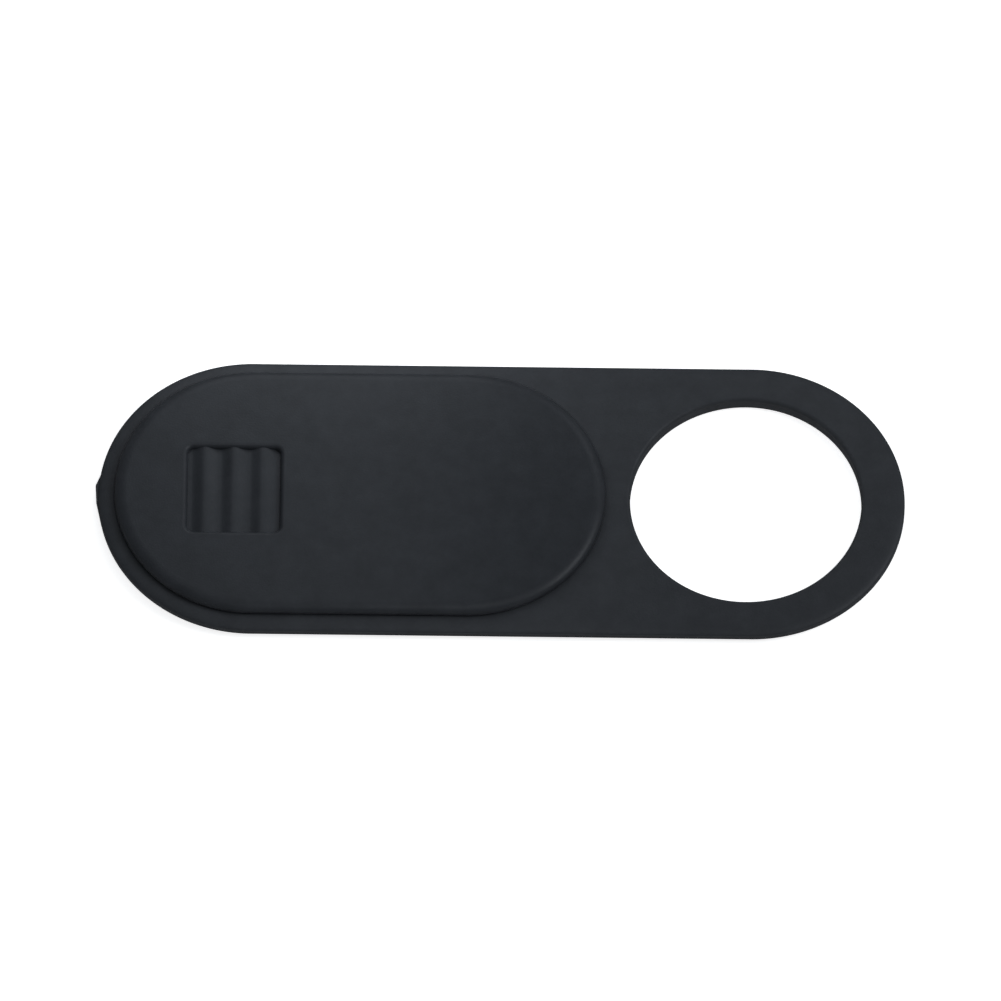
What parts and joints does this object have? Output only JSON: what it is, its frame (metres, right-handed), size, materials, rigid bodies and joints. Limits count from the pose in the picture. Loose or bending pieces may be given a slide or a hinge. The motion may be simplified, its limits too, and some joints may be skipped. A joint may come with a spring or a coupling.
{
  "type": "webcam cover slider",
  "caption": "Thin pill-shaped stick-on camera cover: a base plate with a round lens window, and a sliding shutter with a ribbed thumb grip that closes it.",
  "frame": {"origin": "middle of the sticky back face, below the middle of the base plate", "axes": "+X along the plate towards the lens window, +Y across the plate, +Z out of the face that the shutter slides on"},
  "size_m": [0.0381, 0.0144, 0.0015],
  "materials": {
    "base_plastic": "black injection-moulded plastic with a fine matte spark-eroded texture",
    "shutter_plastic": "black injection-moulded plastic, satin",
    "tape": "thin black double-sided adhesive tape, tacky on its back"
  },
  "bodies": {
    "base": {"base_plate": "base_plastic", "adhesive_pad": "tape"},
    "slide": {"shutter": "shutter_plastic"}
  },
  "joints": [
    {"name": "shutter_slide", "type": "slide", "parent": "base", "child": "slide", "axis": [1, 0, 0], "range_m": [0, 0.01335]}
  ]
}
